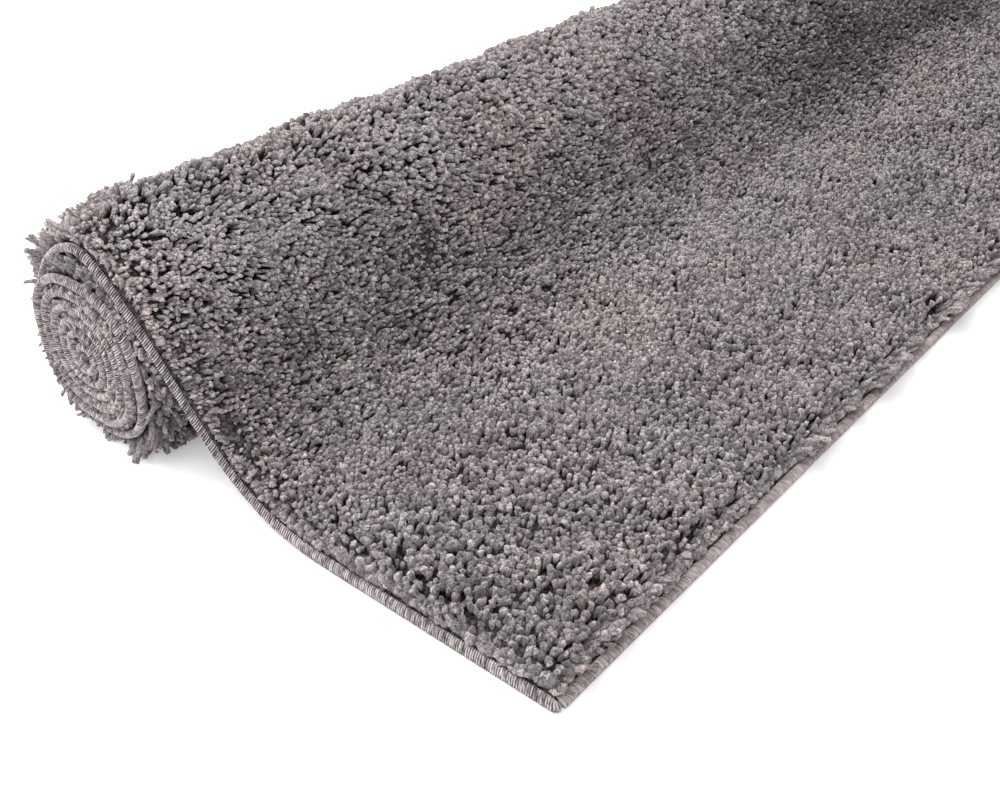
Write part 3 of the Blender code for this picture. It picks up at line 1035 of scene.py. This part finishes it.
def at_both_ends(s_from, s_to, inset, reach, row_step=ROW_STEP, step=TUFT_STEP):
    """Roots near the left and the right end of the roll."""

    def left_end(s):
        return left_edge_x + side_shift(s) + inset

    def right_end(s):
        return right_edge_x + side_shift(s) - inset

    left = jittered_rows(s_from, s_to, left_end, lambda s: left_end(s) + reach, row_step, step)
    right = jittered_rows(s_from, s_to, lambda s: right_end(s) - reach, right_end, row_step, step)
    return np.append(left[0], right[0]), np.append(left[1], right[1])


def coil_pile():
    """The pile on the first tight turn, between it and the outer one.

    Only what shows from the two ends is built, with closer rows right at them.
    """
    s_from, s_to = COIL_START - 0.01, COIL_START + 0.40
    inset = SIDE_BINDING / 2
    steps = (0.95 * ROW_STEP, 0.95 * TUFT_STEP)
    x, s = at_both_ends(s_from, s_to, inset + 0.8 * MM, 42 * MM, *steps)
    rim_step = 3.2 * MM
    rim_x, rim_s = at_both_ends(s_from, s_to, inset, 8 * MM, rim_step, rim_step)
    x, s = np.append(x, rim_x), np.append(s, rim_s)
    lean_x, lean_s = leans(x, s)
    gap = np.minimum(from_left(x, s), from_right(x, s))
    at_end = np.exp(-gap / (9 * MM))
    outwards = 0.30 + (0.4 + 0.5 * ease(s, *FOOT_FROM)) * chance.random(len(x))
    lean_x = 0.8 * lean_x + np.sign(x) * outwards * at_end
    lean_s = 0.8 * lean_s - 0.3 + 0.5 * at_end * chance.normal(size=len(x))
    room = np.minimum(room_outwards(s) - 2.5 * MM, 27 * MM)
    loose = chance.uniform(0.40, 0.85 + 0.25 * ease(s, *WEDGE_FROM))
    filled = np.where(gap < 10 * MM, loose, chance.uniform(0.85, 1.0, len(x)))
    height = np.maximum(room * filled, 4 * MM)
    forms = np.where(gap < 16 * MM, RIM_FORM, FAR_FORM)
    girth = 0.95 * YARN_RADIUS
    # Painted shade: the first turn's yarn ends are darkened a little, for the shaded gap between the
    # turns at the ends.
    return plant("pile_first_turn", x, s, lean_x, lean_s, height, forms, girth, 1.0, -0.10)


def coil_fuzz():
    """Short yarn ends that bulge out between the turns, at the two ends of the roll."""
    s_from, s_to = COIL_START + 0.30, CLOTH_LENGTH - 0.012
    inset, reach, step = -1.4 * MM, 5.4 * MM, 3.1 * MM
    x, s = at_both_ends(s_from, s_to, inset, reach, step, step)
    lean_x = np.sign(x) * chance.uniform(0.3, 1.1, len(x))
    lean_s = chance.normal(0, 0.4, len(x))
    proud = ease(field(x, s, 0.020, 0.025, 41), 0.0, 0.5)
    height = TURN_PITCH * (chance.uniform(0.46, 0.68, len(x)) + 0.28 * proud)
    forms = np.full(len(x), RIM_FORM)
    # Painted light: the yarn ends between the turns are paled a little, against the shade they stand
    # in.
    return plant("pile_inner_turns", x, s, lean_x, lean_s, height, forms, 1.35 * MM, 1.0, 0.1)


# ---------------------------------------------------------------- the sheet's body

HALF_BACK = 1.2 * MM  # half the thickness of the woven back
BED_ROWS_OUTER = 8 * MM  # from one row of the bed's points to the next, on the outer turn
BED_ROWS_COIL = 5 * MM  # and on the tight turns
BED_SIDE_PLACES = (1.5, 5, 10, 17)  # columns of points near each side, in mm from the bindings
BED_COLUMNS = 6  # between them
BED_IN = 60 * MM  # from a side to the first of those
BED_FRONT = (8 * MM, 20 * MM)  # where it starts to rise behind the front end, and is whole


def bed_height(s, from_side):
    """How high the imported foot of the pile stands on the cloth, sloping down to the rims."""
    (pile,) = on_sheet(s, "pile")
    share = 0.60 + 0.12 * ease(s, *RISE_FROM) - 0.30 * ease(s, *LOW_BED_FROM)
    bed = np.where(s < COIL_START - 0.01, share * pile, np.minimum(0.5 * pile, 5.2 * MM))
    slope = 11 * MM + 22 * MM * ease(s, *FRINGE_FROM)
    grown = ease(from_side[None, :] / slope[:, None], 0.0, 1.0) * ease(s, *BED_FRONT)[:, None]
    return HALF_BACK + (bed[:, None] - HALF_BACK) * grown


def closed_sheet(rows, columns):
    """Faces of a sheet with an upper and a lower side, rows by columns of points each."""
    under = rows * columns
    row = np.arange(rows - 1)[:, None]
    column = np.arange(columns - 1)[None, :]
    # The four corners of each cell, in order.
    a = row * columns + column
    b, c, d = a + 1, a + columns + 1, a + columns
    upper = np.stack([a, b, c, d], -1).reshape(-1, 4)
    lower = np.stack([d, c, b, a], -1).reshape(-1, 4) + under
    first, last = column[0], column[0] + (rows - 1) * columns
    left, right = row[:, 0] * columns, row[:, 0] * columns + columns - 1
    rims = (
        (first + under, first + 1 + under, first + 1, first),
        (last, last + 1, last + 1 + under, last + under),
        (left, left + columns, left + columns + under, left + under),
        (right + under, right + columns + under, right + columns, right),
    )
    return upper, np.concatenate([lower] + [np.stack(rim, -1) for rim in rims])


def backing():
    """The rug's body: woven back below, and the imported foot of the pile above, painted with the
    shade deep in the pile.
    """
    outer = np.arange(FRONT_BINDING_WIDTH * 0.6, COIL_START, BED_ROWS_OUTER)
    coil = np.arange(COIL_START, CLOTH_LENGTH - 2 * MM, BED_ROWS_COIL)
    s = np.concatenate([outer, coil])
    width = right_edge_x - left_edge_x
    sides = np.array(BED_SIDE_PLACES) * MM
    between = np.linspace(BED_IN, width - BED_IN, BED_COLUMNS)
    across = np.concatenate([sides, between, (width - sides)[::-1]])
    middle, _, outward = sheet_frame(s)
    top = bed_height(s, np.minimum(across, width - across))
    upper = middle[:, None, :] + outward[:, None, :] * top[:, :, None]
    lower = np.repeat(middle[:, None, :] - outward[:, None, :] * HALF_BACK, len(across), 1)
    for side in (upper, lower):
        side[:, :, 0] = left_edge_x + side_shift(s)[:, None] + across[None, :]
    upper[:, :, 2] = np.maximum(upper[:, :, 2], LOWEST)
    points = np.concatenate([upper.reshape(-1, 3), lower.reshape(-1, 3)])
    bed_faces, back_faces = closed_sheet(*top.shape)
    faces = np.concatenate([bed_faces, back_faces])
    material_of = np.repeat([0, 1], [len(bed_faces), len(back_faces)])
    flat = np.stack(np.broadcast_arrays(across[None, :], s[:, None]), -1).reshape(-1, 2)
    uvs = [np.concatenate([flat, flat])[faces].reshape(-1, 2)]
    return make_piece("backing", points, (faces,), None, uvs, "metres", material_of, (PAINTED_DEPTH_SHADE, BACK))


# ---------------------------------------------------------------- the bound edges

# Real stitches lie about 1 mm apart. These are drawn coarser than that, so that they show.
STITCH = 1.85 * MM  # from one stitch of the side bindings to the next
THREAD = 1.8 * MM  # the same at the front
SLANT = -0.4  # how far a stitch slants along the edge, for its way across it
CORNER_RADIUS = 3 * MM
CORNER_TURN = 1.35  # how far round the front corner a side binding bends, in radians
STRIP_RINGS = 80  # rings of an edge to each strip of its map


def strip_cells(rings, sides):
    """The map of a long tube, cut into strips, with its two ends beside the last strip."""
    strips = math.ceil((rings - 1) / STRIP_RINGS) + 1
    index = np.arange(rings - 1)[:, None]
    side = np.arange(sides)[None, :]
    u0 = (index % STRIP_RINGS) / STRIP_RINGS
    u1 = u0 + 1 / STRIP_RINGS
    v0, v1 = side / sides, (side + 1) / sides
    strip = index // STRIP_RINGS
    cells = []
    for u, v in ((u0, v0), (u0, v1), (u1, v1), (u1, v0)):
        u, v = np.broadcast_arrays(u, v)
        cells.append(np.stack([0.005 + 0.99 * u, (strip + 0.08 + 0.84 * v) / strips], -1))
    places = []
    for end in (0, 1):
        for k in range(sides):
            for u, v in ((k, 0.0), (k + 1, 0.0), (k + 0.5, 1.0)):
                places.append((0.02 + 0.4 * end + 0.3 * u / sides, (strips - 0.9 + 0.8 * v) / strips))
    return [np.stack(cells, 2).reshape(-1, 2), np.array(places)]


def wound_tube(name, material, path, sides, depth, worn, square, uneven, slants=(0.0, 0.0)):
    """Thread wound round an edge, with a ridge and a valley to each stitch, the valleys painted
    darker as shade.

    The path is, ring by ring, the middle, the way along, the two ways across and the two radii.
    Depth is the size of a valley as a share of a ridge, worn is how far the two are pressed even,
    square is the exponent of the section, 2 for an ellipse, and uneven is how much the stitches
    vary. The slants go with the two ways across.
    """
    centre, along, first, second, radii = path
    rings = len(centre)
    turn = math.tau * np.arange(sides) / sides
    on_ridge = np.arange(rings) % 2 == 0
    ridge = np.where(on_ridge, 1.0, depth + (1 - depth) * worn)[:, None]
    ridge = ridge * (1 + uneven * chance.uniform(-1, 1, (rings, 1)))
    first_share, second_share = (
        np.sign(share) * np.abs(share).round(6) ** (2 / square)
        for share in (np.cos(turn)[None, :], np.sin(turn)[None, :])
    )
    one = radii[:, 0:1] * ridge * first_share
    two = radii[:, 1:2] * ridge * second_share
    points = (
        centre[:, None, :]
        + first[:, None, :] * one[:, :, None]
        + second[:, None, :] * two[:, :, None]
        + along[:, None, :] * (slants[0] * one + slants[1] * two)[:, :, None]
    )
    points[:, :, 2] = np.maximum(points[:, :, 2], GAP)
    # Painted shade: valleys are darker than ridges, less so where the stitches are pressed even, and
    # a painted shadow darkens the thread near the floor.
    pale = np.where(on_ridge, chance.uniform(0.75, 1.35, rings), chance.uniform(-0.55, -0.05, rings))
    pale = pale * (1 - worn) + 0.60 * worn
    low = 1 - ease(points[:, :, 2], 1.0 * MM, 3.5 * MM)
    stitch_and_shade = (pale[:, None] + chance.uniform(-0.45, 0.45, (rings, sides)) - 1.1 * low).ravel()
    points = np.concatenate([points.reshape(-1, 3), centre[[0, -1]]])
    stitch_and_shade = np.append(stitch_and_shade, [0.5, 0.5])
    ring = np.arange(rings - 1)[:, None] * sides
    side = np.arange(sides)[None, :]
    after = (side + 1) % sides
    quads = np.stack([ring + side, ring + after, ring + sides + after, ring + sides + side], -1)
    last = (rings - 1) * sides
    near = np.stack([after[0], side[0], np.full(sides, rings * sides)], -1)
    far = np.stack([last + side[0], last + after[0], np.full(sides, rings * sides + 1)], -1)
    faces = (quads.reshape(-1, 4), np.concatenate([near, far]))
    uvs = strip_cells(rings, sides)
    return make_piece(name, points, faces, {"stitch_and_shade": stitch_and_shade}, uvs, materials=(material,))


def side_edge(name, side):
    """The overlocked rope of a long side, which bends round the corner of the front end."""
    rings = 2 * round((CLOTH_LENGTH - 1 * MM) / STITCH)
    s = np.linspace(0.0, CLOTH_LENGTH - 1 * MM, rings)
    centre, _, outward = sheet_frame(s)
    radius = SIDE_BINDING / 2
    angle = CORNER_TURN * np.clip(1 - s / (radius + CORNER_RADIUS), 0.0, 1.0)
    inwards = CORNER_RADIUS * (1 - np.cos(angle))
    rounded = front_y + radius + CORNER_RADIUS * (1 - np.sin(angle))
    centre[:, 0] = (left_edge_x if side < 0 else right_edge_x) + side_shift(s) - side * inwards
    centre[:, 1] = np.where(angle > 0, rounded, centre[:, 1])
    along = np.gradient(centre, axis=0)
    along /= np.linalg.norm(along, axis=1)[:, None]
    across = side * np.cross(along, outward)
    # It starts with a rounded end, and it is thicker and wider where it lies on the floor.
    start = np.sqrt(np.clip(1 - (1 - s / radius) ** 2, 0.05, 1)) * (s < radius) + (s >= radius)
    wound = ease(s, COIL_START - 0.02, COIL_START + 0.1)
    lies = 1 - ease(s, 0.20, 0.30)
    centre[:, 0] += side * 0.6 * MM * lies
    high = 1.04 - 0.09 * wound - 0.10 * (1 - lies) * (1 - wound)
    wide = 1.0 + 0.14 * lies + 0.08 * wound
    worn = 0.50 * lies + 0.42 * wound
    # The two ways across change places on the right, so that the faces look outwards there too.
    if side < 0:
        radii = np.stack([radius * start * wide, radius * start * high], -1)
        path, slants = (centre, along, across, outward, radii), (SLANT, 0.0)
    else:
        radii = np.stack([radius * start * high, radius * start * wide], -1)
        path, slants = (centre, along, outward, across, radii), (0.0, SLANT)
    sides = 8 if side < 0 else 6
    return wound_tube(name, SIDE_YARN, path, sides, 0.76, worn, 2.0, 0.04, slants)


def front_edge():
    """The flatter, finer band along the front end, with its stitches pressed almost even."""
    inner = SIDE_BINDING / 2 + 0.2 * MM
    low, high = left_edge_x + inner, right_edge_x - inner
    rings = 2 * round((high - low) / THREAD)
    half = (FRONT_BINDING_WIDTH / 2, FRONT_BINDING_HEIGHT / 2)
    centre = np.tile([0.0, front_y + half[0], GAP + half[1]], (rings, 1))
    centre[:, 0] = np.linspace(low, high, rings)
    ways = [np.tile(way, (rings, 1)) for way in ((1.0, 0.0, 0.0), (0.0, 1.0, 0.0), (0.0, 0.0, 1.0))]
    path = (centre, *ways, np.tile(half, (rings, 1)))
    return wound_tube("edge_front", FRONT_YARN, path, 8, 0.95, 0.6, 3.2, 0.015)


# ---------------------------------------------------------------- making it

# Columns: name, from and to by the distance s, and the zones where they aren't the usual ones.
PILE_PARTS = (
    ("pile_front", 0.0098, 0.100, LOW_ZONES),
    ("pile_loose_end", 0.100, 0.195, LOW_ZONES),
    ("pile_foot_of_rise", 0.195, 0.300),
    ("pile_slope", 0.300, 0.415),
    ("pile_top", 0.415, 0.560),
    ("pile_back", 0.560, COIL_START, BACK_ZONES),
)
pieces = {"backing": backing()}
for part in PILE_PARTS:
    pieces[part[0]] = outer_pile(*part)
pieces["pile_first_turn"] = coil_pile()
pieces["pile_inner_turns"] = coil_fuzz()
pieces["edge_left"] = side_edge("edge_left", -1)
pieces["edge_right"] = side_edge("edge_right", 1)
pieces["edge_front"] = front_edge()

for piece in pieces.values():
    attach(piece, "root")
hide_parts("rug")
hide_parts("binding_left")
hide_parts("binding_right")
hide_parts("binding_front")

# ---------------------------------------------------------------- studio

LEFT_END = (-0.56, 0.05, 0.10)
MIDDLE = (0.0, 0.1, 0.05)
RIGHT_END = (0.56, 0.05, 0.10)
# Columns: name, place, what it is aimed at, width in metres, power in watts.
LIGHTS = (
    ("key_behind_right", (1.70, 0.80, 1.40), RIGHT_END, 1.2, 78),
    ("high_behind_right", (1.30, 1.40, 2.67), MIDDLE, 2.0, 10),
    ("high_behind_left", (-1.30, 1.40, 2.67), MIDDLE, 2.0, 42),
    ("high_left", (-1.83, 0.10, 2.67), MIDDLE, 2.0, 22),
    ("left_end_fill", (-1.70, 0.90, 1.30), LEFT_END, 1.2, 5),
    ("front_left_fill", (-1.50, -0.70, 1.20), LEFT_END, 1.2, 13),
)


def studio_floor():
    """A large matt white floor, to show the rug on."""
    bpy.ops.mesh.primitive_plane_add(size=24.0, location=(0, 4, 0))
    floor = bpy.context.object
    floor.name = "floor"
    material, _, shader = new_material("matt_white_floor", 0.9, 0.0, grey(1.0))
    shader.inputs["Base Color"].default_value = grey(0.95)
    # Painted light: the floor glows a little, though it is no lamp, which keeps the shadows on it
    # pale.
    shader.inputs["Emission Color"].default_value = grey(1.0)
    shader.inputs["Emission Strength"].default_value = 0.28
    floor.data.materials.append(material)


def soft_light(name, place, aim, size, power):
    """A square lamp, aimed at a place."""
    data = bpy.data.lights.new(name, "AREA")
    data.shape = "SQUARE"
    data.size = size
    data.energy = power
    light = bpy.data.objects.new(name, data)
    bpy.context.scene.collection.objects.link(light)
    light.location = place
    light.rotation_euler = (Vector(aim) - Vector(place)).to_track_quat("-Z", "Y").to_euler()


studio_floor()
for light in LIGHTS:
    soft_light(*light)
world = bpy.data.worlds.new("white_studio")
world.use_nodes = True
background = world.node_tree.nodes["Background"]
background.inputs["Color"].default_value = grey(1.0)
background.inputs["Strength"].default_value = 0.02
bpy.context.scene.world = world
bpy.context.scene.view_settings.view_transform = "Standard"
